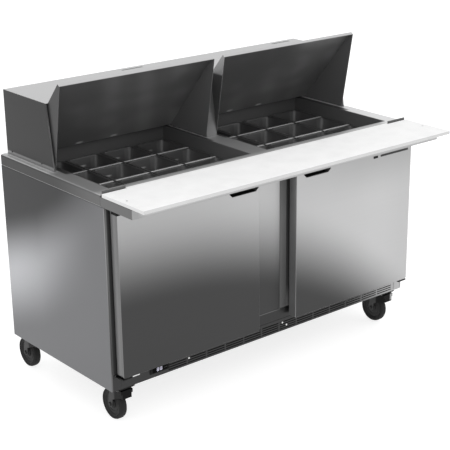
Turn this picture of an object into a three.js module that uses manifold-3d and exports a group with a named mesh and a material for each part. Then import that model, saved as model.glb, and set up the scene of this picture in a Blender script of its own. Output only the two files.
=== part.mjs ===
// Two-door refrigerated sandwich prep table on casters.
// Millimetres, +Z up, front toward -Y, origin on the floor under the middle of the table.
import * as THREE from "three";
import { mergeVertices } from "three/addons/utils/BufferGeometryUtils.js";
import Module from "manifold-3d";

const wasm = await Module();
wasm.setup();

// Driving dimensions. Depths are measured from the cabinet's front plane, heights from the floor.
const WIDTH = 1524;
const CABINET_DEPTH = 686;
const CABINET_BOTTOM = 160;
const KICK_TOP = 214;
const SILL_TOP = 262;
const HEADER_BOTTOM = 826;
const APRON_BOTTOM = 869;
const RAIL_TOP = 905;
const WORKTOP_TOP = 912;
const GAP = 0.3;
const SKIN = 2;
const HALF = WIDTH / 2;

const SIDE_PANEL = 4;
const WALL = 45;
const REAR_WALL_FRONT = 638;
const BODY_HALF = HALF - SIDE_PANEL - GAP;
const CAVITY_HALF = BODY_HALF - WALL;
const REAR_PANEL_FRONT = CABINET_DEPTH - SKIN;
const BODY_REAR = REAR_PANEL_FRONT - GAP;
const BODY_TOP = APRON_BOTTOM - GAP;
const HEADER_DEPTH = 44;
const FACE_INSET = 1;
const NICHE_HALF = 300;
const NICHE_FRONT = 430;
const NICHE_TOP = 375;
const STEP_WALL = 30;
const SHELF_BOTTOM = 500;
const SHELF_DEPTH = 572;
const LEDGE_THICKNESS = 12;

const TRAY_SHEET = 3;
const TRAY_FLOOR = CABINET_BOTTOM + TRAY_SHEET + GAP;
const LOUVRE_GROUPS = 13;
const LOUVRE_PITCH = 93.5;
const LOUVRE_LENGTH = 86;
const LOUVRE_RIGHT = 703;
const SLOTS_PER_GROUP = 4;
const SLOT_LOW = 168;
const SLOT_PITCH = 9.5;
const SLOT_HEIGHT = 4;
const CONTROLLER_X0 = -586;
const CONTROLLER_X1 = -507;
const CONTROLLER_Z0 = 178;
const CONTROLLER_Z1 = 203;

const BOARD_DEPTH = 254;
const BOARD_THICKNESS = 12.7;
const BOARD_REAR = 16;
const RAIL_FRONT = -171;

const WELL_INNER = 41.5;
const WELL_OUTER = 695.5;
const WELL_FRONT = 60;
const WELL_REAR = 620;
const PAN_COLUMNS = 4;
const PAN_ROWS = 3;
const PAN_PITCH_X = 162;
const PAN_PITCH_Y = 176;
const PAN_GRID_INNER = 44.8;
const PAN_GRID_FRONT = 88;
const PAN_TOP = 857.3;
const PAN_DEPTH = 100;
const LEDGE_TOP = 853.7;
const LEDGE_SHEET = 4;
const WEB_HALF = 5.5;
const FLANGE_HALF = 9;

const DOOR_INNER = 95.2;
const DOOR_OUTER = 742.1;
const DOOR_FRONT = -50.8;
const DOOR_BACK = -10;
const DOOR_BOTTOM = 226;
const DOOR_TOP = 862;
const HINGE_X = 730;
const HINGE_Y = -38;
const GASKET_WIDTH = 16;
const PULL_BOTTOM = 804;
const PULL_DEPTH = 26;

const HOOD_HALF = 736.3;
const HOOD_TOP = 1161.5;
const HOOD_REAR = 676;
const HOOD_FRONT_LOW = 347;
const HOOD_FRONT_HIGH = 379;
const POST_HALF = 24.3;
const LID_OUTER = 728;
const LID_PIVOT = [353, 915];
const LID_LIP = [293, 1237];
const LID_APEX = [303, 1245];
const LID_HEEL = [588, 920];

const WHEEL_RADIUS = 63.5;
const WHEEL_WIDTH = 30;
const WHEEL_FACETS = 24;
const AXLE_HEIGHT = WHEEL_RADIUS * Math.cos(Math.PI / WHEEL_FACETS);
const AXLE_RADIUS = 6;
const CASTER_X = 694;
const CASTER_STEMS = [42, 644];
const CASTER_TRAIL = 46.7;
const CASTER_PLATE_BOTTOM = 152;

const NEAREST = -BOARD_DEPTH + BOARD_REAR;
const FARTHEST = CASTER_STEMS[1] + CASTER_TRAIL + AXLE_HEIGHT;
const FRONT_Y = -(NEAREST + FARTHEST) / 2;

const table = new THREE.Group();
table.position.y = FRONT_Y;

// ---- Shapes ----

function block(x0, x1, y0, y1, z0, z1) {
  const geometry = new THREE.BoxGeometry(x1 - x0, y1 - y0, z1 - z0);
  geometry.translate((x0 + x1) / 2, (y0 + y1) / 2, (z0 + z1) / 2);
  return geometry;
}

function outline(points) {
  return new THREE.Shape(points.map(([u, v]) => new THREE.Vector2(u, v)));
}

// A (y, z) outline pushed along X.
function alongX(shape, x0, x1) {
  const geometry = new THREE.ExtrudeGeometry(shape, { depth: x1 - x0, bevelEnabled: false });
  const axes = new THREE.Matrix4().makeBasis(
    new THREE.Vector3(0, 1, 0), new THREE.Vector3(0, 0, 1), new THREE.Vector3(1, 0, 0));
  return geometry.applyMatrix4(axes).translate(x0, 0, 0);
}

// An (x, z) outline pushed along Y.
function alongY(shape, y0, y1) {
  const options = { depth: y1 - y0, bevelEnabled: false, curveSegments: 4 };
  const geometry = new THREE.ExtrudeGeometry(shape, options);
  return geometry.rotateX(Math.PI / 2).translate(0, y1, 0);
}

// An (x, y) outline pushed along Z.
function alongZ(shape, z0, z1) {
  const options = { depth: z1 - z0, bevelEnabled: false, curveSegments: 6 };
  return new THREE.ExtrudeGeometry(shape, options).translate(0, 0, z0);
}

function rodX(radius, x0, x1, y, z, sides = 12) {
  const geometry = new THREE.CylinderGeometry(radius, radius, x1 - x0, sides);
  return geometry.rotateZ(Math.PI / 2).translate((x0 + x1) / 2, y, z);
}

function rodZ(radius, z0, z1, x, y, sides = 12) {
  const geometry = new THREE.CylinderGeometry(radius, radius, z1 - z0, sides);
  return geometry.rotateX(Math.PI / 2).translate(x, y, (z0 + z1) / 2);
}

// The outline of a bent sheet: a run of points with the thickness laid on its right-hand side.
function bentSheet(points, thickness) {
  const run = points.map(([u, v]) => new THREE.Vector2(u, v));
  const sides = run.slice(1).map((point, i) => {
    const along = point.clone().sub(run[i]).normalize();
    return new THREE.Vector2(along.y, -along.x);
  });
  const inner = run.map((point, i) => {
    const before = sides[Math.max(i - 1, 0)];
    const after = sides[Math.min(i, sides.length - 1)];
    const mitre = before.clone().add(after).divideScalar(1 + before.dot(after));
    return point.clone().addScaledVector(mitre, thickness);
  });
  return new THREE.Shape([...inner, ...run.reverse()]);
}

// ---- Joining and cutting ----

function solid(geometry) {
  const bare = geometry.clone();
  bare.deleteAttribute("normal");
  bare.deleteAttribute("uv");
  const merged = mergeVertices(bare, 1e-4);
  return new wasm.Manifold(new wasm.Mesh({
    numProp: 3,
    vertProperties: new Float32Array(merged.attributes.position.array),
    triVerts: new Uint32Array(merged.index.array),
  }));
}

function join(...geometries) {
  return geometries.map(solid).reduce((whole, piece) => whole.add(piece));
}

function joinTo(whole, ...geometries) {
  return whole.add(join(...geometries));
}

function cut(whole, ...geometries) {
  return geometries.map(solid).reduce((rest, tool) => rest.subtract(tool), whole);
}

function geometryOf(body) {
  const mesh = body.getMesh();
  const geometry = new THREE.BufferGeometry();
  geometry.setAttribute("position", new THREE.BufferAttribute(mesh.vertProperties, 3));
  geometry.setIndex(new THREE.BufferAttribute(mesh.triVerts, 1));
  geometry.computeVertexNormals();
  return geometry;
}

function add(name, shape, finish, place = [0, 0, 0], parent = table) {
  const geometry = shape.isBufferGeometry ? shape : geometryOf(shape);
  const mesh = new THREE.Mesh(geometry, new THREE.MeshStandardMaterial(finish));
  mesh.name = name;
  mesh.position.set(...place);
  parent.add(mesh);
}

function bothSides(make) {
  make("left", -1);
  make("right", 1);
}

// Orders a mirrored pair of X limits.
function span(side, inner, outer) {
  return side > 0 ? [inner, outer] : [-outer, -inner];
}

// ---- Finishes ----

const stainless = { color: 0xc9cacc, roughness: 0.34, metalness: 0.9 };
const darkStainless = { color: 0x77797c, roughness: 0.4, metalness: 0.85 };
const liner = { color: 0xb9bcbf, roughness: 0.5, metalness: 0.6 };
const blackPlastic = { color: 0x1c1c1e, roughness: 0.5, metalness: 0 };
const whitePlastic = { color: 0xf4f4f2, roughness: 0.45, metalness: 0 };
const rubber = { color: 0x333436, roughness: 0.8, metalness: 0 };
const zinc = { color: 0x8f9296, roughness: 0.45, metalness: 0.8 };
const copperCoil = { color: 0x9a9ea2, roughness: 0.5, metalness: 0.7 };

// ---- Cabinet ----

function sidePanel(side) {
  const [x0, x1] = span(side, HALF - SIDE_PANEL, HALF);
  return block(x0, x1, 0, CABINET_DEPTH, CABINET_BOTTOM, BODY_TOP);
}

function rearPanel() {
  const slots = [];
  const slotHalf = 220;
  for (let z = 238; z < 366; z += 16) {
    slots.push(block(-slotHalf, slotHalf, REAR_PANEL_FRONT - 1, CABINET_DEPTH + 1, z, z + 6));
  }
  return cut(join(block(-BODY_HALF, BODY_HALF, REAR_PANEL_FRONT, CABINET_DEPTH, CABINET_BOTTOM, BODY_TOP)),
    ...slots);
}

// Hinge bracket with its pin, and a shelf clip on the side wall.
function carcassFittings(side) {
  const [bracket0, bracket1] = span(side, 700, 744);
  const [clip0, clip1] = span(side, CAVITY_HALF - 10, CAVITY_HALF + 1);
  return join(
    block(bracket0, bracket1, DOOR_FRONT + 4, FACE_INSET + 1, 217, 223),
    rodZ(5, 222, DOOR_BOTTOM - GAP, side * HINGE_X, HINGE_Y),
    block(clip0, clip1, 60, 100, SHELF_BOTTOM - LEDGE_THICKNESS, SHELF_BOTTOM - GAP));
}

// The carcass steps up at the rear over the compressor niche, and is open at the front and the top.
function cabinetBody() {
  const shell = cut(
    join(block(-BODY_HALF, BODY_HALF, FACE_INSET, BODY_REAR, KICK_TOP + GAP, BODY_TOP)),
    block(-CAVITY_HALF, CAVITY_HALF, -1, REAR_WALL_FRONT, SILL_TOP, APRON_BOTTOM + 1));
  const whole = joinTo(shell,
    block(-NICHE_HALF - STEP_WALL, NICHE_HALF + STEP_WALL, NICHE_FRONT - STEP_WALL,
      REAR_WALL_FRONT + 1, SILL_TOP - 1, NICHE_TOP + STEP_WALL),
    block(-BODY_HALF, BODY_HALF, FACE_INSET, HEADER_DEPTH, HEADER_BOTTOM, BODY_TOP),
    block(-CAVITY_HALF - 1, CAVITY_HALF + 1, REAR_WALL_FRONT - 8, REAR_WALL_FRONT + 1,
      SHELF_BOTTOM - LEDGE_THICKNESS, SHELF_BOTTOM - GAP));
  return cut(whole.add(carcassFittings(-1)).add(carcassFittings(1)),
    block(-NICHE_HALF, NICHE_HALF, NICHE_FRONT, CABINET_DEPTH, KICK_TOP - 1, NICHE_TOP));
}

function baseChassis() {
  const inner = BODY_HALF - TRAY_SHEET;
  const tray = cut(
    join(block(-BODY_HALF, BODY_HALF, TRAY_SHEET + GAP, BODY_REAR, CABINET_BOTTOM, KICK_TOP)),
    block(-inner, inner, 0, BODY_REAR - TRAY_SHEET, CABINET_BOTTOM + TRAY_SHEET, KICK_TOP + 1));
  const plates = CASTER_STEMS.flatMap((y) => [-CASTER_X, CASTER_X].map((x) => (
    block(x - 30, x + 30, y - 38, y + 38, CASTER_PLATE_BOTTOM, CABINET_BOTTOM + 1))));
  return joinTo(tray, ...plates);
}

function centreMullion() {
  return join(
    block(-125, 125, FACE_INSET, HEADER_DEPTH, SILL_TOP + GAP, HEADER_BOTTOM - GAP),
    block(-53.5, 53.5, 0, 2, SILL_TOP + GAP, HEADER_BOTTOM - GAP),
    block(-60, 60, HEADER_DEPTH - 1, HEADER_DEPTH + 16, SHELF_BOTTOM - LEDGE_THICKNESS,
      SHELF_BOTTOM - GAP));
}

// Groups of louvre slots, and the controller's window.
function frontGrille() {
  const plate = join(block(-BODY_HALF, BODY_HALF, 0, TRAY_SHEET, CABINET_BOTTOM, KICK_TOP));
  const cuts = [block(CONTROLLER_X0 - GAP, CONTROLLER_X1 + GAP, -1, TRAY_SHEET + 1,
    CONTROLLER_Z0 - GAP, CONTROLLER_Z1 + GAP)];
  for (let group = 0; group < LOUVRE_GROUPS; group += 1) {
    const right = LOUVRE_RIGHT - group * LOUVRE_PITCH;
    for (let slot = 0; slot < SLOTS_PER_GROUP; slot += 1) {
      const z = SLOT_LOW + slot * SLOT_PITCH;
      cuts.push(block(right - LOUVRE_LENGTH, right, -1, TRAY_SHEET + 1, z, z + SLOT_HEIGHT));
    }
  }
  return cut(plate, ...cuts);
}

function controller() {
  const bezel = 5;
  return join(
    block(CONTROLLER_X0, CONTROLLER_X1, -1, 55, CONTROLLER_Z0, CONTROLLER_Z1),
    block(CONTROLLER_X0 - bezel, CONTROLLER_X1 + bezel, -3, -GAP, CONTROLLER_Z0 - 2, CONTROLLER_Z1 + 2));
}

bothSides((name, side) => add(`side_panel_${name}`, sidePanel(side), stainless));
add("rear_panel", rearPanel(), zinc);
add("cabinet_body", cabinetBody(), liner);
add("base_chassis", baseChassis(), zinc);
add("centre_mullion", centreMullion(), stainless);
add("front_grille", frontGrille(), darkStainless);
add("controller", controller(), blackPlastic);

// ---- Refrigeration inside the cabinet ----

function compressor() {
  const pot = [[0, 168], [68, 168], [76, 182], [76, 280], [62, 306], [34, 318], [0, 320]];
  const shell = new THREE.LatheGeometry(pot.map(([r, z]) => new THREE.Vector2(r, z)), 20);
  shell.rotateX(Math.PI / 2).translate(-110, 560, 0);
  return join(shell, block(-200, -20, 480, 640, TRAY_FLOOR, 172));
}

function condenser() {
  const gaps = [];
  for (let x = 446; x < 680; x += 24) {
    gaps.push(block(x, x + 12, 29, 50, 170, 203));
  }
  return cut(join(block(430, 690, 30, 100, TRAY_FLOOR, 209)), ...gaps);
}

function evaporator() {
  const housing = join(block(-190, 190, 560, REAR_WALL_FRONT - GAP, 560, 720));
  const fan = new THREE.CylinderGeometry(62, 62, 40, 20).translate(0, 570, 640);
  return cut(housing, fan);
}

function cordGland() {
  const profile = [[0, GAP], [20, GAP], [20, 5], [13, 7], [13, 16], [0, 16]];
  const gland = new THREE.LatheGeometry(profile.map(([r, y]) => new THREE.Vector2(r, y)), 12);
  return gland.translate(620, CABINET_DEPTH, 280);
}

add("compressor", compressor(), blackPlastic);
add("condenser", condenser(), copperCoil);
add("evaporator", evaporator(), whitePlastic);
add("cord_gland", cordGland(), blackPlastic);

function wireShelf() {
  const length = CAVITY_HALF - 14;
  const rod = 6;
  const wires = 10;
  const bars = [block(0, length, 0, rod, 0, rod), block(0, length, SHELF_DEPTH - rod, SHELF_DEPTH, 0, rod),
    block(0, rod, 0, SHELF_DEPTH, 0, rod), block(length - rod, length, 0, SHELF_DEPTH, 0, rod)];
  for (let i = 1; i < wires; i += 1) {
    const x = i * length / wires;
    bars.push(block(x - 2, x + 2, rod / 2, SHELF_DEPTH - rod / 2, 1, rod - 1));
  }
  return join(...bars);
}

bothSides((name, side) => {
  const start = side > 0 ? 7 : 7 - CAVITY_HALF;
  add(`wire_shelf_${name}`, wireShelf(), zinc, [start, 50, SHELF_BOTTOM]);
});

// ---- Worktop, wells and pans ----

function worktop() {
  const roll = 8;
  const profile = new THREE.Shape();
  profile.moveTo(-HALF, APRON_BOTTOM);
  profile.lineTo(HALF, APRON_BOTTOM);
  profile.lineTo(HALF, WORKTOP_TOP - roll);
  profile.absarc(HALF - roll, WORKTOP_TOP - roll, roll, 0, Math.PI / 2, false);
  profile.lineTo(-HALF + roll, WORKTOP_TOP);
  profile.absarc(-HALF + roll, WORKTOP_TOP - roll, roll, Math.PI / 2, Math.PI, false);
  profile.closePath();
  const slab = join(alongY(profile, BOARD_REAR + GAP, CABINET_DEPTH));
  const wells = [-1, 1].map((side) => {
    const [x0, x1] = span(side, WELL_INNER, WELL_OUTER);
    return block(x0, x1, WELL_FRONT, WELL_REAR, APRON_BOTTOM - 1, WORKTOP_TOP + 1);
  });
  return cut(slab, ...wells);
}

function wellTub(side) {
  const [x0, x1] = span(side, WELL_INNER + GAP, WELL_OUTER - GAP);
  const y0 = WELL_FRONT + GAP;
  const y1 = WELL_REAR - GAP;
  const bottom = LEDGE_TOP - LEDGE_SHEET;
  const sideLedge = 12.7;
  const wall = 3;
  return cut(
    join(block(x0, x1, y0, y1, bottom, WORKTOP_TOP - GAP)),
    block(x0 + wall, x1 - wall, y0 + wall, y1 - wall, LEDGE_TOP, WORKTOP_TOP),
    block(x0 + sideLedge, x1 - sideLedge, PAN_GRID_FRONT + 10, y1 - sideLedge, bottom - 1, LEDGE_TOP + 1));
}

// A grid of bars: flanges carry the pans' rims, and the raised cross webs show between the rows.
function panDivider() {
  const width = PAN_COLUMNS * PAN_PITCH_X;
  const depth = PAN_ROWS * PAN_PITCH_Y;
  const inset = 10.3;
  const low = LEDGE_TOP - LEDGE_SHEET;
  const bars = [];
  for (let row = 1; row < PAN_ROWS; row += 1) {
    const y = row * PAN_PITCH_Y;
    bars.push(block(inset, width - inset, y - FLANGE_HALF, y + FLANGE_HALF, low, LEDGE_TOP));
    bars.push(block(1, width - 1, y - WEB_HALF, y + WEB_HALF, LEDGE_TOP + GAP, PAN_TOP));
    bars.push(block(inset, width - inset, y - WEB_HALF, y + WEB_HALF, LEDGE_TOP - 1, LEDGE_TOP + 1));
  }
  for (let column = 1; column < PAN_COLUMNS; column += 1) {
    const x = column * PAN_PITCH_X;
    bars.push(block(x - FLANGE_HALF, x + FLANGE_HALF, inset, depth - inset - 1, low, LEDGE_TOP));
  }
  return join(...bars);
}

// A block that hangs down from z = 0 and narrows toward its bottom.
function tapered(width, depth, height) {
  const bottomScale = 0.93;
  const geometry = block(-width / 2, width / 2, -depth / 2, depth / 2, -height, 0);
  const position = geometry.attributes.position;
  for (let i = 0; i < position.count; i += 1) {
    const scale = 1 + (1 - bottomScale) * position.getZ(i) / PAN_DEPTH;
    position.setXY(i, position.getX(i) * scale, position.getY(i) * scale);
  }
  return geometry;
}

function foodPan() {
  const sheet = 1.6;
  const rimX = 79.2;
  const rimY = 82;
  const rim = block(-rimX, rimX, -rimY, rimY, LEDGE_TOP + GAP - PAN_TOP, 0);
  const hollow = tapered(136.8, 148.8, PAN_DEPTH - sheet).translate(0, 0, 0.01);
  return cut(join(rim, tapered(140, 152, PAN_DEPTH)), hollow);
}

add("worktop", worktop(), stainless);
bothSides((name, side) => {
  add(`well_tub_${name}`, wellTub(side), darkStainless);
  const gridLeft = side > 0 ? PAN_GRID_INNER : -PAN_GRID_INNER - PAN_COLUMNS * PAN_PITCH_X;
  add(`pan_divider_${name}`, panDivider(), stainless, [gridLeft, PAN_GRID_FRONT, 0]);
  for (let row = 0; row < PAN_ROWS; row += 1) {
    for (let column = 0; column < PAN_COLUMNS; column += 1) {
      const x = gridLeft + (column + 0.5) * PAN_PITCH_X;
      const y = PAN_GRID_FRONT + (row + 0.5) * PAN_PITCH_Y;
      add(`pan_${name}_r${row + 1}c${column + 1}`, foodPan(), darkStainless, [x, y, PAN_TOP]);
    }
  }
});

// ---- Board rail and cutting board ----

function boardRail() {
  const tab = (side) => {
    const [x0, x1] = span(side, HALF - 104, HALF - 4);
    return block(x0, x1, 9, 12, RAIL_TOP - 1, 927);
  };
  return join(block(-HALF, HALF, RAIL_FRONT, BOARD_REAR, APRON_BOTTOM, RAIL_TOP), tab(-1), tab(1));
}

function cuttingBoard() {
  const notchLength = 107;
  const notchDepth = 9.5;
  const front = BOARD_REAR - BOARD_DEPTH;
  const inner = HALF - notchLength;
  const shape = outline([[-HALF, front], [HALF, front], [HALF, BOARD_REAR - notchDepth],
    [inner, BOARD_REAR - notchDepth], [inner, BOARD_REAR], [-inner, BOARD_REAR],
    [-inner, BOARD_REAR - notchDepth], [-HALF, BOARD_REAR - notchDepth]]);
  for (const x of [-HALF + 24, HALF - 24]) {
    const hole = new THREE.Path();
    hole.absarc(x, -110, 4, 0, 2 * Math.PI, true);
    shape.holes.push(hole);
  }
  return alongZ(shape, RAIL_TOP + GAP, RAIL_TOP + GAP + BOARD_THICKNESS);
}

add("board_rail", boardRail(), stainless);
add("cutting_board", cuttingBoard(), whitePlastic);

// ---- Hood and lids ----

function hood() {
  const bottom = WORKTOP_TOP + GAP;
  const sideRear = HOOD_REAR - SKIN / 2;
  const sideTop = HOOD_TOP - SKIN / 2;
  const sideFrontHigh = HOOD_FRONT_HIGH + 1;
  const frontAt = (z) => (
    HOOD_FRONT_LOW + (sideFrontHigh - HOOD_FRONT_LOW) * (z - bottom) / (sideTop - bottom));
  const strip = (low, high, front, rear) => outline([[frontAt(low) + front, low],
    [frontAt(low) + rear, low], [frontAt(high) + rear, high], [frontAt(high) + front, high]]);
  const side = outline([[HOOD_FRONT_LOW, bottom], [sideRear, bottom], [sideRear, sideTop],
    [sideFrontHigh, sideTop]]);
  const cover = bentSheet([[HOOD_FRONT_HIGH, HOOD_TOP], [HOOD_REAR, HOOD_TOP], [HOOD_REAR, bottom]], SKIN);
  const hem = strip(bottom + 8, sideTop - 2, 0.4, 10.4);
  const hemInner = LID_OUTER + 2.5;
  return join(
    alongX(cover, -HOOD_HALF + 0.5, HOOD_HALF - 0.5),
    alongX(side, -HOOD_HALF, -HOOD_HALF + SKIN),
    alongX(side, HOOD_HALF - SKIN, HOOD_HALF),
    alongX(hem, -HOOD_HALF + 1, -hemInner),
    alongX(hem, hemInner, HOOD_HALF - 1),
    alongX(strip(bottom, sideTop, 0, 25), -POST_HALF, POST_HALF));
}

// A rigid wedge: bent sheet over two triangular flanges that turn on pins low in the hood's sides.
function lid(side) {
  const [pivotY, pivotZ] = LID_PIVOT;
  const [x0, x1] = span(side, POST_HALF + GAP, LID_OUTER);
  const flange = outline([[pivotY - 2, pivotZ - 0.7], [LID_HEEL[0] - 4, pivotZ - 0.7], LID_HEEL,
    LID_APEX, LID_LIP]);
  const [pin0, pin1] = span(side, LID_OUTER - 1, HOOD_HALF - SKIN - GAP);
  return join(
    alongX(bentSheet([LID_LIP, LID_APEX, LID_HEEL], SKIN), x0, x1),
    alongX(flange, x0, x0 + SKIN),
    alongX(flange, x1 - SKIN, x1),
    rodX(2.4, pin0, pin1, pivotY, pivotZ, 8));
}

add("hood", hood(), stainless);
bothSides((name, side) => add(`lid_${name}`, lid(side), stainless));

// ---- Doors ----

// A door's face: square but for a small radius on the lower corner at the hinge.
function doorFace(side) {
  const radius = 9;
  const face = new THREE.Shape();
  face.moveTo(DOOR_OUTER - radius, DOOR_BOTTOM);
  face.absarc(DOOR_OUTER - radius, DOOR_BOTTOM + radius, radius, -Math.PI / 2, 0, false);
  face.lineTo(DOOR_OUTER, DOOR_TOP);
  face.lineTo(DOOR_INNER, DOOR_TOP);
  face.lineTo(DOOR_INNER, DOOR_BOTTOM);
  face.closePath();
  return outline(face.getPoints(4).map((point) => [side * point.x, point.y]));
}

// The pull is a pocket cut down from the door's top edge, with its lower corners at 45 degrees.
function door(side, pocketLeft, pocketRight) {
  const corner = 12.5;
  const pocket = outline([[pocketLeft + corner, PULL_BOTTOM], [pocketRight - corner, PULL_BOTTOM],
    [pocketRight, PULL_BOTTOM + corner], [pocketRight, DOOR_TOP + 1], [pocketLeft, DOOR_TOP + 1],
    [pocketLeft, PULL_BOTTOM + corner]]);
  return cut(join(alongY(doorFace(side), DOOR_FRONT, DOOR_BACK)),
    alongY(pocket, DOOR_FRONT - 1, DOOR_FRONT + PULL_DEPTH));
}

function doorGasket(side) {
  const [x0, x1] = span(side, DOOR_INNER + 8, HINGE_X);
  const z0 = DOOR_BOTTOM + 10;
  const z1 = DOOR_TOP - 10;
  return cut(join(block(x0, x1, DOOR_BACK + GAP, -GAP, z0, z1)),
    block(x0 + GASKET_WIDTH, x1 - GASKET_WIDTH, DOOR_BACK, 0, z0 + GASKET_WIDTH, z1 - GASKET_WIDTH));
}

add("door_left", door(-1, -238.7, -98.5), stainless);
add("door_right", door(1, 135.6, 277.1), stainless);
bothSides((name, side) => add(`door_gasket_${name}`, doorGasket(side), rubber));

// ---- Casters ----

function casterFork() {
  const top = CASTER_PLATE_BOTTOM - GAP;
  const crownBottom = 131;
  const crownTop = 146;
  const crownHalf = 26;
  const skirtBottom = 112;
  const legInner = WHEEL_WIDTH / 2 + 2.5;
  const legOuter = legInner + 3;
  const t = CASTER_TRAIL;
  const plateFront = -38;
  const plateRear = 48;
  const leg = outline([[plateFront, crownTop], [plateFront, skirtBottom], [-24, skirtBottom],
    [t - 16, AXLE_HEIGHT + 24],
    [t - 14, AXLE_HEIGHT - 2], [t - 8, AXLE_HEIGHT - 11], [t + 8, AXLE_HEIGHT - 11],
    [t + 13, AXLE_HEIGHT], [t + 8, AXLE_HEIGHT + 34], [plateRear, 118], [plateRear, crownTop]]);
  return join(
    block(-crownHalf, crownHalf, plateFront, plateRear, crownBottom, crownTop),
    block(-legOuter, legOuter, plateFront, plateFront + 3, skirtBottom, crownTop - 1),
    rodZ(26, crownTop - 1, top, 0, 0, 20),
    alongX(leg, -legOuter, -legInner),
    alongX(leg, legInner, legOuter),
    rodX(AXLE_RADIUS, -legOuter - 3, legOuter + 3, t, AXLE_HEIGHT));
}

function casterWheel() {
  const half = WHEEL_WIDTH / 2;
  const bore = AXLE_RADIUS + GAP;
  const profile = [[bore, -half], [18, -half], [18, -9], [47, -9], [50, -half], [58, -half],
    [WHEEL_RADIUS, -9], [WHEEL_RADIUS, 9], [58, half], [50, half], [47, 9], [18, 9],
    [18, half], [bore, half], [bore, -half]];
  const points = profile.map(([r, along]) => new THREE.Vector2(r, along));
  const wheel = new THREE.LatheGeometry(points, WHEEL_FACETS, Math.PI / WHEEL_FACETS);
  return wheel.rotateZ(-Math.PI / 2);
}

const corners = [["front_left", -1, 0], ["front_right", 1, 0], ["rear_left", -1, 1],
  ["rear_right", 1, 1]];
for (const [corner, side, row] of corners) {
  const caster = new THREE.Group();
  caster.position.set(side * CASTER_X, CASTER_STEMS[row], 0);
  add(`caster_fork_${corner}`, casterFork(), zinc, [0, 0, 0], caster);
  add(`caster_wheel_${corner}`, casterWheel(), rubber, [0, CASTER_TRAIL, AXLE_HEIGHT], caster);
  table.add(caster);
}

export default table;
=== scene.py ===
"""Looks of the sandwich prep table: finishes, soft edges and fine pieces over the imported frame."""
import math

import bmesh
import bpy
from mathutils import Matrix, Vector


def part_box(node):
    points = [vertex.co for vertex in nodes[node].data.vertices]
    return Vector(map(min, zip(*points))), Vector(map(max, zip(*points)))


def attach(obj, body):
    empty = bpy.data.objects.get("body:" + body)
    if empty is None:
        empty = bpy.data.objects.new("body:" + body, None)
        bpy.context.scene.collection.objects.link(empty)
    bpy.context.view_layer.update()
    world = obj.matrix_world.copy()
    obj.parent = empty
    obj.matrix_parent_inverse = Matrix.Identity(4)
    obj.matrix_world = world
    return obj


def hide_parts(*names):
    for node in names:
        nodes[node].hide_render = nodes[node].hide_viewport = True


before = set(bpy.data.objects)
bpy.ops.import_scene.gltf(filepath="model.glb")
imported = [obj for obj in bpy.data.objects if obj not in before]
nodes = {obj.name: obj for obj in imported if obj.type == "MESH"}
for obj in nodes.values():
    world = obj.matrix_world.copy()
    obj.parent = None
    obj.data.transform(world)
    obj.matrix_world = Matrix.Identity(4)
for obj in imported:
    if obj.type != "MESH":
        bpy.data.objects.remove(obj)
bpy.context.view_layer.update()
scene = bpy.context.scene
# Metres, as in the frame.
MM = 0.001
PAN_PITCH = 0.162
BUMP_DEPTH = 0.0004
# Millimetres, from the cabinet's front centre at floor level.
HALF_WIDTH = 762
TRIM_TOP = 868

# The cabinet's front and left-hand end, and heights that the finishes refer to, in metres.
panel_low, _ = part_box("side_panel_left")
FRONT = panel_low.y
LEFT = panel_low.x
RAIL_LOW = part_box("board_rail")[0].z
BOARD_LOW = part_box("cutting_board")[0].z
WORKTOP_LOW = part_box("worktop")[0].z
WORKTOP_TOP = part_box("worktop")[1].z
HOOD_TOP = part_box("hood")[1].z
LID_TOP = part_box("lid_left")[1].z
CORNERS = ("front_left", "front_right", "rear_left", "rear_right")
SIDES = (("left", -1), ("right", 1))
FORWARD = (0, -1, 0)
BACKWARD = (0, 1, 0)
UP = (0, 0, 1)
DOWN = (0, 0, -1)


def place(x, y, z):
    """Millimetres from the cabinet's front centre at floor level, as a point in the frame."""
    return Vector((x * MM, FRONT + y * MM, z * MM))


def span(node):
    """The low and the high corner of a CAD node's box, in the same millimetres."""
    return [(corner - place(0, 0, 0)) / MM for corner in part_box(node)]


# ---- Node materials ----

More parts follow.
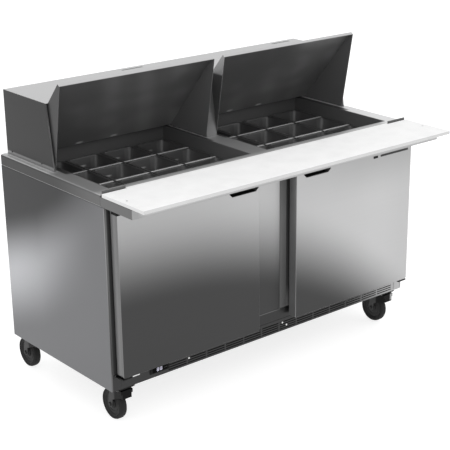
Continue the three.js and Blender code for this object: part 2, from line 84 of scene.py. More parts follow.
class Paint:
    """A material being made: wraps its node tree so that a formula reads as one."""

    def __init__(self, name):
        self.material = bpy.data.materials.new(name)
        self.material.use_nodes = True
        self.tree = self.material.node_tree
        self.shader = self.tree.nodes["Principled BSDF"]
        self.coords = self.tree.nodes.new("ShaderNodeTexCoord")

    def link(self, source, target):
        """Feeds an input with a number or with another node's output."""
        if isinstance(source, (int, float)):
            target.default_value = source
        else:
            self.tree.links.new(source, target)

    def math(self, operation, a, b=0.0):
        node = self.tree.nodes.new("ShaderNodeMath")
        node.operation = operation
        self.link(a, node.inputs[0])
        self.link(b, node.inputs[1])
        return node.outputs[0]

    def plus(self, a, b):
        return self.math("ADD", a, b)

    def minus(self, a, b):
        return self.math("SUBTRACT", a, b)

    def times(self, a, b):
        return self.math("MULTIPLY", a, b)

    def distance(self, a, b):
        return self.math("ABSOLUTE", self.minus(a, b))

    def axes(self, source="Object"):
        node = self.tree.nodes.new("ShaderNodeSeparateXYZ")
        self.tree.links.new(self.coords.outputs[source], node.inputs[0])
        return node.outputs

    def smooth(self, value, low, high):
        """0 up to low, 1 from high on, and a soft step between."""
        node = self.tree.nodes.new("ShaderNodeMapRange")
        node.interpolation_type = "SMOOTHSTEP"
        self.link(value, node.inputs["Value"])
        node.inputs["From Min"].default_value = low
        node.inputs["From Max"].default_value = high
        return node.outputs[0]

    def fade(self, value, low, high):
        """1 up to low, 0 from high on."""
        return self.minus(1.0, self.smooth(value, low, high))

    def blend(self, amount, a, b):
        """a where amount is 0, b where it is 1."""
        rest = self.minus(1.0, amount)
        return self.plus(self.times(a, rest), self.times(b, amount))

    def noise(self, stretch, detail=3.0, roughness=0.55):
        mapping = self.tree.nodes.new("ShaderNodeMapping")
        mapping.inputs["Scale"].default_value = stretch
        self.tree.links.new(self.coords.outputs["Object"], mapping.inputs[0])
        node = self.tree.nodes.new("ShaderNodeTexNoise")
        node.inputs["Scale"].default_value = 1.0
        node.inputs["Detail"].default_value = detail
        node.inputs["Roughness"].default_value = roughness
        self.tree.links.new(mapping.outputs[0], node.inputs["Vector"])
        return node.outputs[0]

    def colour(self, tone, tint=(1.0, 1.0, 1.0)):
        node = self.tree.nodes.new("ShaderNodeCombineColor")
        for i, part in enumerate(tint):
            self.link(self.times(tone, part), node.inputs[i])
        self.tree.links.new(node.outputs[0], self.shader.inputs["Base Color"])

    def roughness(self, value):
        self.link(value, self.shader.inputs["Roughness"])

    def bump(self, height, strength):
        node = self.tree.nodes.new("ShaderNodeBump")
        node.inputs["Strength"].default_value = strength
        node.inputs["Distance"].default_value = BUMP_DEPTH
        self.tree.links.new(height, node.inputs["Height"])
        self.tree.links.new(node.outputs[0], self.shader.inputs["Normal"])

    def metal(self, amount):
        self.link(amount, self.shader.inputs["Metallic"])


def facing(paint, axis, sign=1):
    """1 on faces that look along an axis, 0 on the others."""
    return paint.smooth(paint.times(paint.axes("Normal")[axis], sign), 0.55, 0.8)


# Stretches of the grain noise: long along one axis and fine across it.
BRUSHED_X = (2.0, 260.0, 260.0)
BRUSHED_Y = (260.0, 2.0, 260.0)
BRUSHED_Z = (260.0, 260.0, 2.0)


def brushed_steel(name, tone_of, grain=BRUSHED_X, rough=0.34, metal=0.85, tint=(1.0, 1.0, 1.005)):
    """Stainless sheet: tone_of(paint) gives the tone with its painted reflection, light and shade, and fine
    grain runs one way.
    """
    paint = Paint(name)
    grain_lines = paint.noise(grain, 4.0, 0.7)
    clouds = paint.noise((3.0, 3.0, 3.0), 3.0)
    shade = paint.plus(0.93, paint.times(grain_lines, 0.08))
    shade = paint.plus(shade, paint.times(clouds, 0.06))
    paint.colour(paint.times(tone_of(paint), shade), tint)
    paint.roughness(paint.plus(rough - 0.05, paint.times(grain_lines, 0.1)))
    paint.metal(metal(paint) if callable(metal) else metal)
    paint.bump(grain_lines, 0.08)
    return paint.material


def moulded(name, tone, rough, metal=0.0, scale=900.0, strength=0.12, tint=(1.0, 1.0, 1.0), shine=0.5):
    """Plastic, rubber, paint or plating: a fine skin texture with soft variation."""
    paint = Paint(name)
    if callable(tone):
        tone = tone(paint)
    skin = paint.noise((scale, scale, scale), 3.0)
    clouds = paint.noise((14.0, 14.0, 14.0), 3.0)
    shade = paint.plus(0.86, paint.times(skin, 0.14))
    shade = paint.plus(shade, paint.times(clouds, 0.14))
    paint.colour(paint.times(shade, tone), tint)
    paint.roughness(paint.plus(rough - 0.06, paint.times(clouds, 0.12)))
    paint.metal(metal)
    paint.shader.inputs["Specular IOR Level"].default_value = shine
    paint.bump(skin, strength)
    return paint.material


# ---- Tones ----
# The steel's colour carries a painted reflection of a dark floor below and a bright room above. The border
# between the two is highest at the left-hand end and falls away toward the right, by a power of the way
# along.

DARK_TONE = 0.049
BORDER_HEIGHT = 0.68
BORDER_FALL = 0.221
BORDER_POWER = 2.42


def facade(paint):
    """Painted reflection: dark below the border, brighter above it toward the right, with painted shade
    under the board.
    """
    x, _, z = paint.axes()
    along = paint.minus(x, LEFT)
    border = paint.math("POWER", paint.math("MAXIMUM", along, 0.001), BORDER_POWER)
    border = paint.minus(BORDER_HEIGHT, paint.times(border, BORDER_FALL))
    lit = paint.smooth(paint.minus(z, border), -0.2, 0.195)
    bright = paint.plus(0.38, paint.times(along, 0.078))
    bright = paint.times(bright, paint.blend(paint.smooth(along, 1.25, 1.52), 1.0, 0.92))
    # Painted shade under the board, near the top toward the right.
    under_board_shade = paint.times(paint.smooth(z, 0.62, 0.87), paint.smooth(along, 0.7, 1.3))
    bright = paint.times(bright, paint.blend(under_board_shade, 1.0, 0.76))
    return paint.blend(lit, DARK_TONE, bright)


def edge_light(paint, a, b):
    """1 on a rounded edge between two faces that look along the axes a and b; it places painted edge light.
    """
    normal = paint.axes("Normal")
    both = paint.math("ABSOLUTE", paint.times(normal[a], normal[b]))
    return paint.smooth(both, 0.2, 0.45)


def front_tone(paint):
    """Painted facade reflection in front; painted light on a door's sides toward the cabinet and mullion,
    and on its rounded edges.
    """
    x, y, _ = paint.axes()
    outer = paint.blend(paint.smooth(y, FRONT - 0.05, FRONT - 0.006), 0.16, 0.4)
    side = paint.blend(paint.smooth(paint.math("ABSOLUTE", x), 0.3, 0.6), 0.38, outer)
    tone = paint.blend(facing(paint, 1, -1), side, facade(paint))
    return paint.blend(edge_light(paint, 0, 1), tone, 0.2)


def carcass_tone(paint):
    """Liner inside, painted facade reflection on the sill, painted shade toward the top, dark hinge brackets
    ahead of it.
    """
    _, y, z = paint.axes()
    tone = paint.blend(facing(paint, 1, -1), 0.42, paint.times(facade(paint), 0.8))
    tone = paint.blend(paint.smooth(z, 0.8, 0.83), tone, 0.05)
    return paint.blend(paint.smooth(y, FRONT - 0.004, FRONT), 0.012, tone)


def flange_tone(paint):
    """Folded front edge of a side panel, in painted light and shade: dark toward the left door, lighter
    higher up, bright at the right-hand end.
    """
    x, _, z = paint.axes()
    lit = paint.blend(paint.smooth(z, 0.25, 0.8), 0.13, 0.3)
    left = paint.blend(paint.smooth(x, LEFT + 0.001, LEFT + 0.015), lit, 0.03)
    return paint.blend(paint.smooth(x, -0.01, 0.01), left, 0.42)


def gap_tone(paint):
    """Painted shadow in the gap beside the mullion, lighter near the sill."""
    _, _, z = paint.axes()
    return paint.blend(paint.smooth(z, 0.27, 0.37), 0.09, 0.03)


def breaker_tone(paint):
    """Grey strip beside the mullion, with painted light toward its top."""
    _, _, z = paint.axes()
    return paint.blend(paint.smooth(z, 0.35, 0.7), 0.08, 0.13)


def kick_tone(paint):
    """Louvred panel with painted reflection: dark for most of its length, a painted highlight at the
    right-hand end, painted shade off the front faces.
    """
    x, _, _ = paint.axes()
    along = paint.minus(x, LEFT)
    face = paint.blend(paint.smooth(along, 1.17, 1.6), 0.042, 0.46)
    return paint.blend(facing(paint, 1, -1), 0.012, face)


def side_tone(paint):
    """Side skin in painted reflection: a painted highlight along a slanting ridge that grows toward the
    rear, with a dark reflection above it.
    """
    _, y, z = paint.axes()
    back = paint.minus(y, FRONT)
    ridge = paint.minus(0.79, paint.times(back, 0.6))
    rear = paint.math("MAXIMUM", paint.minus(back, 0.45), 0.0)
    ridge = paint.plus(ridge, paint.times(rear, 0.23))
    above = paint.minus(z, ridge)
    strength = paint.smooth(back, 0.05, 0.68)
    hill = paint.smooth(above, -0.26, 0.0)
    fall = paint.smooth(above, 0.0, 0.24)
    lit = paint.blend(paint.times(hill, strength), 0.152, 0.435)
    dark = paint.blend(paint.smooth(back, -0.1, 0.32), 0.135, 0.033)
    return paint.blend(fall, lit, dark)


def hood_tone(paint):
    """Painted reflection: a bright top, dark sides that show the worktop lighter low down, an even back,
    cloudy inside.
    """
    cloud = paint.smooth(paint.noise((3.4, 3.4, 5.0), 2.0), 0.38, 0.66)
    inside = paint.blend(cloud, 0.13, 0.32)
    side = paint.math("MAXIMUM", facing(paint, 0, -1), facing(paint, 0, 1))
    _, _, z = paint.axes()
    above_worktop = paint.smooth(z, WORKTOP_TOP + 0.011, WORKTOP_TOP + 0.018)
    tone = paint.blend(side, inside, paint.blend(above_worktop, 0.24, 0.031))
    tone = paint.blend(facing(paint, 1), tone, 0.3)
    return paint.blend(facing(paint, 2), tone, 0.5)


def outer_metal(paint):
    """Mirror-like on the top and the ends, duller inside."""
    normal = paint.axes("Normal")
    outer = paint.math("MAXIMUM", paint.math("ABSOLUTE", normal[0]), normal[2])
    return paint.blend(paint.smooth(outer, 0.5, 0.8), 0.4, 0.85)


def lid_tone(start):
    """A raised lid in painted reflection: cloudy slanting columns inside, one to a pan, darker toward the
    top, with two painted glints low down over the middle pans, painted light on the flange above the hood
    and on the lip; start is the lid's left end."""
    slant = 0.53
    glint_height = WORKTOP_TOP + 0.014
    first_glint, middle = 0.6, 1.5

    def tone(paint):
        x, _, z = paint.axes()
        slanted = paint.plus(x, paint.times(z, slant))
        column = paint.math("FRACT", paint.math("DIVIDE", slanted, PAN_PITCH))
        column = paint.smooth(paint.distance(column, 0.5), 0.1, 0.45)
        cloud = paint.smooth(paint.noise((2.6, 2.6, 4.2), 2.0), 0.35, 0.6)
        cloud = paint.times(cloud, paint.blend(column, 0.45, 1.0))
        turns = paint.minus(paint.math("DIVIDE", paint.minus(x, start), PAN_PITCH), first_glint)
        away = paint.distance(paint.math("FRACT", turns), 0.5)
        off_line = paint.distance(z, glint_height)
        off_middle = paint.distance(turns, middle)
        glint = paint.times(paint.smooth(away, 0.36, 0.47), paint.fade(off_line, 0.002, 0.007))
        glint = paint.times(glint, paint.fade(off_middle, 0.7, 0.8))
        clouded = paint.blend(cloud, 0.125, 0.21)
        height = paint.smooth(z, WORKTOP_TOP + 0.018, LID_TOP - 0.045)
        inside = paint.times(clouded, paint.blend(height, 1.35, 0.82))
        inside = paint.blend(glint, inside, 0.7)
        sheet = paint.blend(paint.smooth(paint.axes("Normal")[1], 0.2, 0.6), inside, 0.4)
        side = paint.math("MAXIMUM", facing(paint, 0, -1), facing(paint, 0, 1))
        above_hood = paint.blend(paint.smooth(z, HOOD_TOP - 0.0035, HOOD_TOP + 0.0065), 0.07, 0.36)
        outer = paint.blend(paint.smooth(x, 0.0, 0.02), 0.036, above_hood)
        flange = paint.blend(paint.smooth(x, start + 0.3, start + 0.4), outer, 0.15)
        rim = paint.smooth(z, LID_TOP - 0.0095, LID_TOP - 0.006)
        lip = paint.times(rim, paint.minus(1.0, side))
        return paint.blend(lip, paint.blend(side, sheet, flange), 0.5)
    return tone


def worktop_tone(paint):
    """Painted light and shade: light at the front and beside the hood, darker between the wells, brightest
    at the right-hand end, painted shadow under the ends of the lids; the front edge is dim, with a painted
    highlight along its lower edge."""
    x, y, z = paint.axes()
    back = paint.minus(y, FRONT)
    inward = paint.smooth(x, LEFT + 0.012, LEFT + 0.026)
    top = paint.blend(paint.smooth(back, 0.33, 0.37), 0.26, paint.blend(inward, 0.45, 0.64))
    top = paint.blend(paint.smooth(back, 0.03, 0.07), 0.45, top)
    top = paint.blend(paint.smooth(x, 0.64, 0.69), top, 0.72)
    away = paint.math("ABSOLUTE", x)
    # Painted shadow under the ends of the lids.
    under_lid_shadow = paint.times(paint.smooth(away, 0.029, 0.031), paint.fade(away, 0.716, 0.719))
    under_lid_shadow = paint.times(under_lid_shadow, paint.smooth(back, 0.285, 0.31))
    top = paint.blend(under_lid_shadow, top, 0.045)
    edge = paint.blend(paint.smooth(back, 0.0, 0.35), 0.1, 0.025)
    edge = paint.blend(paint.smooth(z, WORKTOP_LOW + 0.0015, WORKTOP_LOW + 0.0035), 0.38, edge)
    return paint.blend(facing(paint, 2), edge, top)


def rail_tone(paint):
    """Painted light and shade: the front face lighter toward its top and darker at its left-hand end; darker
    ends and upturned tabs.
    """
    x, _, z = paint.axes()
    front = paint.blend(paint.smooth(z, RAIL_LOW, RAIL_LOW + 0.019), 0.36, 0.62)
    front = paint.blend(paint.smooth(x, LEFT + 0.02, LEFT + 0.07), 0.3, front)
    tone = paint.blend(facing(paint, 1, -1), 0.13, front)
    return paint.blend(paint.smooth(z, BOARD_LOW + 0.0002, BOARD_LOW + 0.0012), tone, 0.13)


def well_tone(paint):
    """Well liners, in painted shade that deepens toward the rear."""
    _, y, _ = paint.axes()
    deep = paint.blend(paint.smooth(y, FRONT + 0.05, FRONT + 0.6), 0.16, 0.1)
    return paint.blend(facing(paint, 2), deep, 0.12)


def bar_tone(start):
    """Painted highlight on the bar tops, with a dark notch of painted shade where the rows of pans meet;
    start is the first notch.
    """
    def tone(paint):
        x, _, _ = paint.axes()
        turns = paint.math("DIVIDE", paint.minus(x, start), PAN_PITCH)
        away = paint.distance(paint.math("FRACT", turns), 0.5)
        top = paint.blend(paint.smooth(away, 0.455, 0.475), 0.7, 0.03)
        return paint.blend(facing(paint, 2), 0.05, top)
    return tone


def board_tone(paint):
    """White board with shaded edges."""
    ends = paint.math("MAXIMUM", facing(paint, 0, -1), facing(paint, 0, 1))
    return paint.blend(facing(paint, 1, -1), paint.blend(ends, 0.9, 0.64), 0.55)


def pan_tone(paint):
    """Dark rim and walls in painted shade, a painted highlight in the rear right corner and a faint painted
    highlight streak across the rear wall.
    A pan's own coordinates start at the middle of its rim."""
    highlight_height = -0.036
    x, y, z = paint.axes()
    # Painted highlight in the rear right corner.
    corner = paint.times(paint.smooth(x, 0.034, 0.041), paint.smooth(y, 0.02, 0.062))
    corner = paint.times(corner, paint.smooth(z, -0.085, -0.03))
    inside = paint.blend(corner, 0.082, 0.115)
    off_line = paint.distance(z, highlight_height)
    highlight_streak = paint.times(paint.fade(off_line, 0.0015, 0.005), paint.fade(x, 0.0, 0.02))
    highlight_streak = paint.times(highlight_streak, paint.smooth(y, 0.03, 0.05))
    inside = paint.blend(highlight_streak, inside, 0.4)
    return paint.blend(paint.smooth(z, -0.007, -0.003), inside, 0.065)


def fork_tone(stem):
    """Crown in painted shadow, lighter legs behind the stem, and a painted highlight on the front end at the
    right;
    stem is the swivel axis's place from front to rear."""
    def tone(paint):
        x, y, z = paint.axes()
        shade = paint.blend(paint.smooth(y, stem + 0.012, stem + 0.024), 0.004, 0.06)
        # A painted highlight on the front end of the fork at the right.
        front_highlight = paint.times(facing(paint, 1, -1), paint.smooth(x, 0.702, 0.706))
        return paint.blend(paint.times(front_highlight, paint.smooth(z, 0.115, 0.12)), shade, 0.3)
    return tone


def plain(tone):
    """The same tone all over."""
    return lambda paint: tone


steel_front = brushed_steel("stainless_front", front_tone)
steel_side = brushed_steel("stainless_side", side_tone, BRUSHED_Y, tint=(0.985, 0.993, 1.03))
steel_hood = brushed_steel("stainless_hood", hood_tone, metal=outer_metal)
steel_carcass = brushed_steel("stainless_carcass", carcass_tone)
steel_kick = brushed_steel("stainless_kick", kick_tone)
steel_worktop = brushed_steel("stainless_worktop", worktop_tone, BRUSHED_Y, rough=0.4, metal=0.35)
steel_rail = brushed_steel("stainless_rail", rail_tone)
steel_well = brushed_steel("stainless_well", well_tone, BRUSHED_X, rough=0.42, metal=0.35)
steel_pan = brushed_steel("stainless_pan", pan_tone, BRUSHED_Z, rough=0.4, metal=0.3)
steel_liner = brushed_steel("stainless_liner", plain(0.42), BRUSHED_X, rough=0.45)
steel_flange = brushed_steel("stainless_flange", flange_tone, BRUSHED_Z, rough=0.4)
steel_screw = brushed_steel("stainless_screw", plain(0.045), BRUSHED_Z, rough=0.4)
steel_lip = brushed_steel("stainless_lip", plain(0.13))
galvanised = moulded("galvanised_sheet", 0.42, 0.5, metal=0.7, scale=60.0, strength=0.06)
zinc = moulded("zinc_plating", 0.3, 0.4, metal=0.75, scale=400.0, strength=0.08)
bright_zinc = moulded("bright_zinc", 0.75, 0.3, metal=0.4, scale=400.0, strength=0.08)
chassis_sheet = moulded("chassis_sheet", 0.012, 0.5, metal=0.3, scale=60.0, strength=0.06, shine=0.1)
black_glass = moulded("display_glass", 0.003, 0.3, scale=300.0, strength=0.02, shine=0.05)
bezel_black = moulded("bezel_black", 0.002, 0.5, scale=600.0, strength=0.05, shine=0.03)
race_black = moulded("race_black", 0.006, 0.45, metal=0.3, scale=500.0, strength=0.1, shine=0.1)
black_plastic = moulded("black_plastic", 0.008, 0.5, shine=0.1)
# A dark material of painted shadow, for the gap between the doors.
gap_shade = moulded("gap_painted_shadow", gap_tone, 0.5, shine=0.1)
# The flange's painted light and shade, on the strips at the jambs.
jamb_shading = moulded("jamb_painted_shading", flange_tone, 0.5, shine=0.1)
breaker_grey = moulded("breaker_strip_grey", breaker_tone, 0.55, shine=0.15)
cup_black = moulded("cup_black", 0.035, 0.5, shine=0.1)
key_grey = moulded("key_grey", 0.075, 0.55, shine=0.15)
digit_lilac = moulded("digit_lilac", 0.9, 0.4, scale=300.0, strength=0.05, tint=(0.84, 0.82, 1.0), shine=0.2)
strip_grey = moulded("strip_grey", 0.05, 0.5, shine=0.15)
gasket_black = moulded("gasket_vinyl", 0.022, 0.6, scale=500.0, strength=0.15)
white_plastic = moulded("white_plastic", 0.8, 0.4)
board_white = moulded("board_polyethylene", board_tone, 0.6, scale=1400.0, strength=0.2)
wheel_rubber = moulded("wheel_rubber", 0.018, 0.7, scale=700.0, strength=0.3, shine=0.12)
wheel_core = moulded("wheel_core", 0.03, 0.5, scale=600.0, strength=0.1, shine=0.12)
compressor_black = moulded("compressor_enamel", 0.02, 0.3, metal=0.2, scale=200.0, strength=0.1)
copper = moulded("copper_pipe", 0.55, 0.35, metal=0.9, scale=300.0, strength=0.05, tint=(1.0, 0.55, 0.38))
coated_wire = moulded("coated_wire", 0.5, 0.4, metal=0.3, scale=500.0, strength=0.05)


# ---- Pieces ----

SHARP_ANGLE = math.radians(32)


def set_material(obj, material):
    obj.data.materials.clear()
    obj.data.materials.append(material)


def soften(obj, width, segments=2):
    """Joins the flat facets, then rounds every sharp edge; width is in millimetres."""
    weld = obj.modifiers.new("weld", "WELD")
    weld.merge_threshold = 0.00001
    flat = obj.modifiers.new("flat", "DECIMATE")
    flat.decimate_type = "DISSOLVE"
    flat.angle_limit = math.radians(1)
    bevel = obj.modifiers.new("bevel", "BEVEL")
    bevel.width = width * MM
    bevel.segments = segments
    bevel.limit_method = "ANGLE"
    bevel.angle_limit = math.radians(35)
    bevel.harden_normals = True


def dress(node, material, width=1.2, segments=2):
    """A CAD node that keeps its shape, with its finish and rounded edges."""
    obj = nodes[node]
    set_material(obj, material)
    soften(obj, width, segments)
    return obj


def piece(name, bm, body, material):
    """A visible piece from a bmesh, riding on a body."""
    mesh = bpy.data.meshes.new(name)
    bmesh.ops.recalc_face_normals(bm, faces=bm.faces)
    bm.to_mesh(mesh)
    bm.free()
    obj = bpy.data.objects.new(name, mesh)
    scene.collection.objects.link(obj)
    mesh.shade_smooth()
    mesh.set_sharp_from_angle(angle=SHARP_ANGLE)
    set_material(obj, material)
    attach(obj, body)
    return obj


def slab(name, low, high, body, material, width=1.0, segments=2):
    """A folded sheet or bar between two corners given in millimetres, with rounded edges."""
    bm = bmesh.new()
    bmesh.ops.create_cube(bm, size=1.0)
    a, b = place(*low), place(*high)
    bmesh.ops.scale(bm, vec=b - a, verts=bm.verts)
    bmesh.ops.translate(bm, vec=(a + b) / 2, verts=bm.verts)
    bmesh.ops.bevel(bm, geom=bm.edges[:], offset=width * MM, segments=segments, affect="EDGES", profile=0.5)
    return piece(name, bm, body, material)


def side_slab(name, sign, across, deep, high, body, material, width=1.0, segments=2):
    """A slab on one side of the centre: across, deep and high are its two ends in x, y and z."""
    x0, x1 = sorted(sign * x for x in across)
    return slab(name, (x0, deep[0], high[0]), (x1, deep[1], high[1]), body, material, width, segments)


def turned(name, profile, centre, direction, body, material, steps=32):
    """Revolves a closed (radius, along) outline in millimetres round an axis through centre."""
    bm = bmesh.new()
    turn = Vector((0, 0, 1)).rotation_difference(Vector(direction)).to_matrix()
    rings = []
    for i in range(steps):
        angle = 2 * math.pi * i / steps
        ring = []
        for radius, along in profile:
            point = Vector((radius * math.cos(angle), radius * math.sin(angle), along)) * MM
            ring.append(bm.verts.new(place(*centre) + turn @ point))
        rings.append(ring)
    count = len(profile)
    for i in range(steps):
        ring, after = rings[i], rings[(i + 1) % steps]
        for k in range(count):
            bm.faces.new((ring[k], ring[(k + 1) % count], after[(k + 1) % count], after[k]))
    bmesh.ops.remove_doubles(bm, verts=bm.verts, dist=1e-6)
    return piece(name, bm, body, material)


def wires(name, runs, radius, body, material, sides=8):
    """Round wires or pipes along runs of points in millimetres."""
    bm = bmesh.new()
    for points in runs:
        path = [place(*p) for p in points]
        rings = []
        for i, point in enumerate(path):
            along = (path[min(i + 1, len(path) - 1)] - path[max(i - 1, 0)]).normalized()
            across = along.orthogonal().normalized()
            if i:
                across = (last - along * last.dot(along)).normalized()
            last = across
            up = along.cross(across)
            ring = []
            for k in range(sides):
                angle = 2 * math.pi * k / sides
                offset = across * math.cos(angle) + up * math.sin(angle)
                ring.append(bm.verts.new(point + offset * radius * MM))
            rings.append(ring)
        for ring, after in zip(rings, rings[1:]):
            for k in range(sides):
                bm.faces.new((ring[k], ring[(k + 1) % sides], after[(k + 1) % sides], after[k]))
        bm.faces.new(rings[0])
        bm.faces.new(rings[-1])
    return piece(name, bm, body, material)


def rounded_rectangle(width, depth, radius, z, steps=5):
    """A loop of points in millimetres."""
    points = []
    for quarter in range(4):
        start = quarter * math.pi / 2
        sx = 1 if quarter in (0, 3) else -1
        sy = 1 if quarter in (0, 1) else -1
        for i in range(steps + 1):
            angle = start + i * math.pi / 2 / steps
            x = sx * (width / 2 - radius) + radius * math.cos(angle)
            y = sy * (depth / 2 - radius) + radius * math.sin(angle)
            points.append((x, y, z))
    return points


def lofted(loops):
    """A closed skin through loops of points, capped at the first loop and at the last."""
    bm = bmesh.new()
    rings = [[bm.verts.new(Vector(p) * MM) for p in loop] for loop in loops]
    count = len(rings[0])
    for ring, after in zip(rings, rings[1:]):
        for k in range(count):
            bm.faces.new((ring[k], ring[(k + 1) % count], after[(k + 1) % count], after[k]))
    bm.faces.new(rings[0])
    bm.faces.new(rings[-1])
    return bm


def screw(name, centre, direction, body, material, radius=4.0):
    """A domed screw head."""
    dome = [(0.01, 0), (radius, 0), (radius, 0.6), (radius * 0.82, 1.5), (radius * 0.45, 2.1),
            (0.01, 2.3)]
    return turned(name, dome, centre, direction, body, material, 20)


# ---- Cabinet ----

def cabinet():
    """Skins, mullion and carcass, and the strips that line the door openings, those at the jambs and the
    mullion in painted light and shade.
    """
    for side, _ in SIDES:
        dress(f"side_panel_{side}", steel_side, 1.5)
    dress("centre_mullion", steel_front, 1.0)
    dress("front_grille", steel_kick, 0.5, 1)
    dress("rear_panel", galvanised, 0.4, 1)
    dress("base_chassis", chassis_sheet, 0.8)
    dress("controller", black_plastic, 1.5)
    dress("cabinet_body", steel_carcass, 1.0)
    low, high = span("centre_mullion")
    mullion_strip, mullion_gap = (53.8, 88), (88.4, high.x - 1)
    mullion_height = (low.z + 0.7, high.z - 0.7)
    door_low, _ = span("door_left")
    jamb, flange = (714, 756.5), (HALF_WIDTH - 4.8, HALF_WIDTH - 0.1)
    for side, sign in SIDES:
        side_slab(f"breaker_strip_{side}", sign, mullion_strip, (-0.9, 0.9), mullion_height, "cabinet",
                  breaker_grey, 0.5)
        # A dark strip of painted shadow stands in the gap beside each breaker strip.
        side_slab(f"mullion_gap_shadow_{side}", sign, mullion_gap, (-0.9, 0.9), mullion_height, "cabinet",
                  gap_shade, 0.5)
        # Each jamb strip is a sheet of painted shade on the left and painted light on the right.
        side_slab(f"jamb_strip_{side}", sign, jamb, (-0.3, 0.8), (door_low.z, TRIM_TOP), "cabinet",
                  jamb_shading, 0.4)
        side_slab(f"front_flange_{side}", sign, flange, (-1.4, 1.5), (162, TRIM_TOP), "cabinet",
                  steel_flange, 0.6)
    slab("sill_lip", (-57, -0.8, 258.5), (57, 1.0, 261.9), "cabinet", steel_lip, 0.6)
    slab("header_strip", (-712, -0.8, 828), (712, 0.8, 866), "cabinet",
         black_plastic, 0.4)


def kick_panel():
    """The thermostat's face, window and keys, a blank data plate, and the panel's seams and screws."""
    low, high = span("controller")
    slab("controller_face", (low.x + 11, low.y - 1, low.z + 3), (high.x - 9, low.y + 0.4, high.z - 2),
         "cabinet", bezel_black, 0.5)
    slab("controller_window", (low.x + 25, low.y - 1.6, low.z + 5.6),
         (low.x + 58, low.y - 0.8, low.z + 23.2), "cabinet", black_glass, 0.3)
    digits(low.x + 29, low.y - 1.5, low.z + 7.6)
    first_key, key_pitch, key_radius = low.x + 64, 5, 1.6
    for i in range(3):
        screw(f"controller_key_{i + 1}", (first_key + i * key_pitch, low.y - 1, low.z + 14), FORWARD,
              "cabinet", key_grey, key_radius)
    slab("data_plate", (-680, -0.9, 193), (-637, 0, 199.5), "cabinet", white_plastic, 0.3)
    for side, sign in SIDES:
        side_slab(f"kick_seam_{side}", sign, (717.6, 719.2), (-0.5, 0.3), (166, 205), "cabinet",
                  steel_screw, 0.2)
    for i, (x, z) in enumerate(((-407, 188), (70, 196), (92, 181))):
        screw(f"kick_screw_{i + 1}", (x, 0, z), FORWARD, "cabinet", bright_zinc)


def digits(x0, y1, z0):
    """A generic 38 on the display, made of the bars of its figures, from the lower left corner."""
    width, height, bar, gap = 10.8, 13.6, 2.8, 3.2
    y0 = y1 - 0.6
    middle = z0 + height / 2

    def figure_bar(name, low_x, low_z, high_x, high_z):
        slab(name, (low_x, y0, low_z), (high_x, y1, high_z), "cabinet", digit_lilac, 0.2, 1)

    for i, left_bars in enumerate((False, True)):
        x = x0 + i * (width + gap)
        for k, z in enumerate((z0, middle - bar / 2, z0 + height - bar)):
            figure_bar(f"digit_{i + 1}_level_{k + 1}", x, z, x + width, z + bar)
        figure_bar(f"digit_{i + 1}_right", x + width - bar, z0, x + width, z0 + height)
        if left_bars:
            figure_bar(f"digit_{i + 1}_left", x, z0, x + bar, z0 + height)


def refrigeration():
    """The condensing unit in its niche, the evaporator in the cabinet, and what joins them."""
    dress("compressor", compressor_black, 4.0, 3)
    dress("condenser", galvanised, 0.8)
    dress("evaporator", white_plastic, 6.0, 3)
    dress("cord_gland", black_plastic, 1.0)
    pipes()
    low, high = span("evaporator")
    fan(Vector(((low.x + high.x) / 2, low.y + 14, (low.z + high.z) / 2)))
    turned("gland_nut", [(7, 0), (15, 0), (15, 5), (13.4, 7), (7, 7)], (620, 694, 280), BACKWARD,
           "cabinet", black_plastic, 6)


def pipes():
    """The condenser's coil, and one pipe from the evaporator and one to the condenser."""
    runs = []
    for row in range(4):
        y, z = 112 - row * 3, 176 + row * 9
        runs.append([(432, y, z), (560, 116, z), (688, y, z)])
    wires("condenser_coil", runs, 3, "cabinet", copper)
    suction = [(-110, 560, 318), (-112, 560, 340), (-140, 580, 352), (-220, 600, 352), (-262, 600, 330),
               (-272, 590, 240)]
    wires("suction_pipe", [suction], 4, "cabinet", copper)
    discharge = [(-60, 540, 250), (-20, 530, 262), (40, 520, 262), (160, 520, 250), (280, 500, 225)]
    wires("discharge_pipe", [discharge], 3, "cabinet", copper)


def fan(centre):
    """The evaporator's fan behind its wire guard, round a centre given in millimetres."""
    guard_radius, blades = 64, 5
    guard = []
    for radius in (18, 30, 42, 54, guard_radius):
        ring = []
        for i in range(25):
            angle = 2 * math.pi * i / 24
            ring.append(centre + Vector((radius * math.cos(angle), -17, radius * math.sin(angle))))
        guard.append(ring)
    for i in range(4):
        angle = math.pi * i / 4
        reach = Vector((math.cos(angle), 0, math.sin(angle))) * guard_radius
        middle = centre - Vector((0, 18.5, 0))
        guard.append([middle - reach, middle + reach])
    wires("fan_guard", guard, 1.2, "cabinet", coated_wire, 6)
    bm = bmesh.new()
    for i in range(blades):
        turn = Matrix.Rotation(2 * math.pi * i / blades, 4, "Y")
        outline = ((8, -2, -6), (52, -8, -20), (56, 4, 16), (10, 6, 8))
        bm.faces.new([bm.verts.new(place(*(centre + turn @ Vector(corner)))) for corner in outline])
    # Each blade is a bare sheet: it gets a second face, but no thickness.
    bmesh.ops.solidify(bm, geom=bm.faces[:], thickness=0.0)
    piece("evaporator_fan", bm, "cabinet", white_plastic)
    turned("fan_hub", [(0.01, -10), (13, -10), (13, 4), (9, 9), (0.01, 10)], centre, FORWARD,
           "cabinet", black_plastic)


